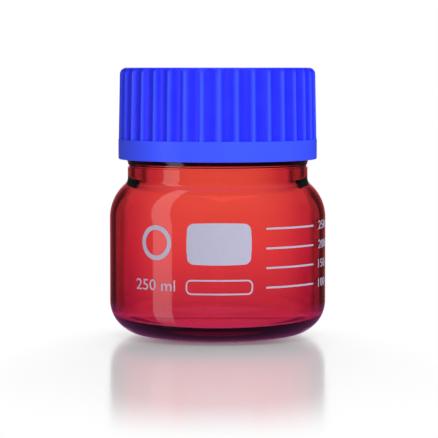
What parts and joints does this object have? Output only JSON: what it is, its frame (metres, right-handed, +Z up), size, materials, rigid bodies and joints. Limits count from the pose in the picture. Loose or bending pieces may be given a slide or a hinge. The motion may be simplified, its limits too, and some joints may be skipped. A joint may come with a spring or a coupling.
{
  "type": "reagent bottle",
  "caption": "Squat wide-mouth amber glass reagent bottle with a fluted blue screw cap, pouring ring, sealing liner, enamel writing field and graduation lines.",
  "frame": {"origin": "centre of the base, on the surface that the bottle stands on", "axes": "+Z up along the bottle's axis; -Y is the front, with the writing field; +X is to the right, with the scale"},
  "size_m": [0.095, 0.0951, 0.117],
  "materials": {
    "amber_glass": "polished",
    "cap_plastic": "satin",
    "ring_plastic": "satin",
    "liner_pad": "matte",
    "liner_face": "smooth",
    "enamel": "satin"
  },
  "bodies": {
    "bottle": {"bottle": "amber_glass", "pouring_ring": "ring_plastic", "writing_field": "enamel", "batch_frame": "enamel", "graduation_100": "enamel", "graduation_150": "enamel", "graduation_200": "enamel", "graduation_250": "enamel"},
    "liner": {"liner_pad": "liner_pad", "liner_face": "liner_face"},
    "cap": {"screw_cap": "cap_plastic"}
  },
  "joints": [
    {"name": "cap_lift", "type": "slide", "parent": "bottle", "child": "liner", "axis": [0, 0, 1], "range_m": [0, 0.048]},
    {"name": "cap_turn", "type": "hinge", "parent": "liner", "child": "cap", "pos_m": [0, 0, 0.1], "axis": [0, 0, 1], "range_deg": [0, 720]}
  ],
  "couplings": [
    {"joint": "cap_lift", "follows": "cap_turn", "m_per_rad": 0.0038197}
  ]
}
